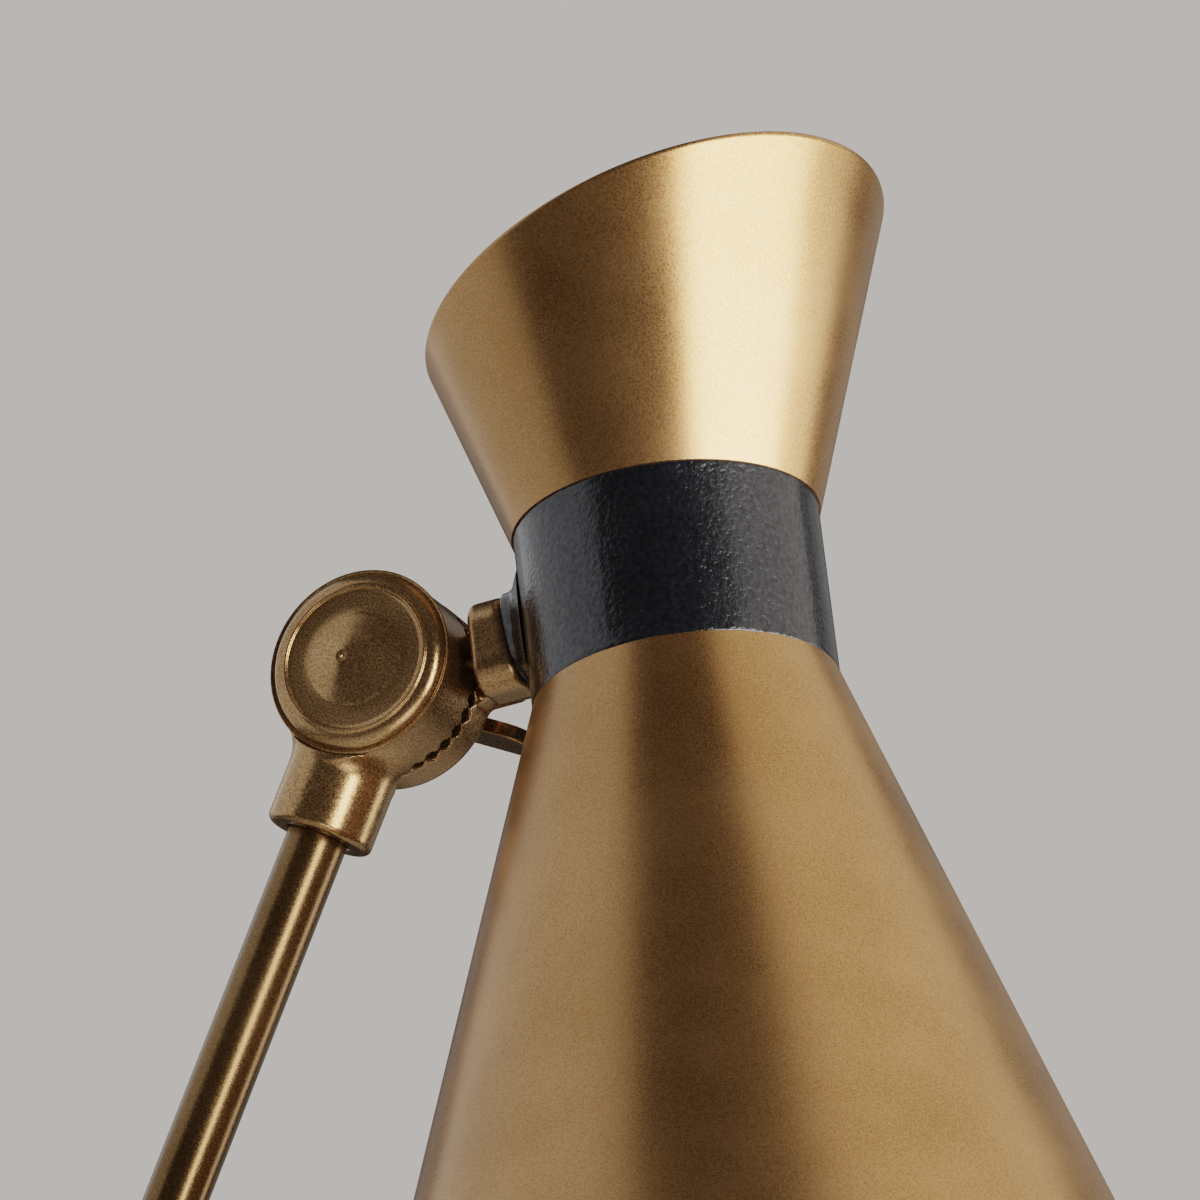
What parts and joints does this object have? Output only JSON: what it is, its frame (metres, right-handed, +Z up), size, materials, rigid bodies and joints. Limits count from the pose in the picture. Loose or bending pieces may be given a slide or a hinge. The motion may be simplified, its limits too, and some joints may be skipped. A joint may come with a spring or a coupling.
{
  "type": "tripod floor lamp",
  "caption": "Floor lamp with a tilting hourglass metal shade on a leaning mast that doubles as the rear leg of a tripod.",
  "frame": {"origin": "on the floor, at the middle of the bounding box of the whole lamp", "axes": "+Z up, +X the way the mast leans and the shade hangs, Y along the knuckle's pivot"},
  "size_m": [0.7768, 0.5604, 1.4974],
  "materials": {
    "brass_lacquer": "satin antique-brass metallic lacquer with a fine speckled grain",
    "bronze_cast": "satin antique-brass lacquer over a cast surface",
    "black_enamel": "gloss black enamel with slight orange peel",
    "black_plastic": "matte black moulded plastic",
    "steel": "zinc-plated steel",
    "cap_metal": "bright pressed cap",
    "brass_contact": "bright stamped brass",
    "ivory_plastic": "moulded ivory plastic",
    "frosted_glass": "frosted white",
    "rubber": "matte black rubber",
    "wire_sleeve": "smooth insulation"
  },
  "bodies": {
    "stand": {"knuckle_front": "bronze_cast", "knuckle_cap": "bronze_cast", "pivot_bolt": "steel", "flat_washer": "steel", "mast_grub_screw": "steel", "mast_upper": "brass_lacquer", "mast_lower": "brass_lacquer", "mast_coupler": "steel", "tripod_hub": "black_enamel", "hub_grub_screws": "steel", "leg_left": "brass_lacquer", "leg_right": "brass_lacquer", "foot_tip_rear": "rubber", "foot_tip_left": "rubber", "foot_tip_right": "rubber", "cord_inlet_bush": "black_plastic", "mast_wire": "wire_sleeve"},
    "head": {"shade_upper_cone": "brass_lacquer", "neck_collar": "black_enamel", "shade_lower_cone": "brass_lacquer", "socket_bridge": "steel", "stem_screws": "steel", "socket_nipple": "steel", "nipple_nuts": "steel", "socket_cap": "black_plastic", "rotary_switch": "ivory_plastic", "socket_body": "black_plastic", "screw_shell": "brass_contact", "centre_contact": "brass_contact", "bulb_base": "cap_metal", "bulb_tip": "cap_metal", "bulb_glass": "frosted_glass", "knuckle_rear": "bronze_cast", "pivot_bush": "brass_contact", "head_wire": "wire_sleeve"},
    "switch_knob": {"switch_knob": "black_plastic"},
    "clamp_washer": {"spring_washer": "steel"},
    "wing_nut": {"wing_nut": "bronze_cast"}
  },
  "joints": [
    {"name": "shade_tilt", "type": "hinge", "parent": "stand", "child": "head", "pos_m": [0.20609, 0, 1.4], "axis": [0, -1, 0], "range_deg": [-16, 90]},
    {"name": "clamp_travel", "type": "slide", "parent": "stand", "child": "clamp_washer", "axis": [0, 1, 0], "range_m": [0, 0.001]},
    {"name": "wing_nut_turn", "type": "hinge", "parent": "clamp_washer", "child": "wing_nut", "pos_m": [0.20609, 0, 1.4], "axis": [0, 1, 0], "range_deg": [0, 360]},
    {"name": "switch_turn", "type": "hinge", "parent": "head", "child": "switch_knob", "pos_m": [0.26872, 0, 1.43253], "axis": [-0.1167, 0, 0.9932], "continuous": true}
  ],
  "couplings": [
    {"joint": "clamp_travel", "follows": "wing_nut_turn", "m_per_rad": 0.00015915}
  ]
}
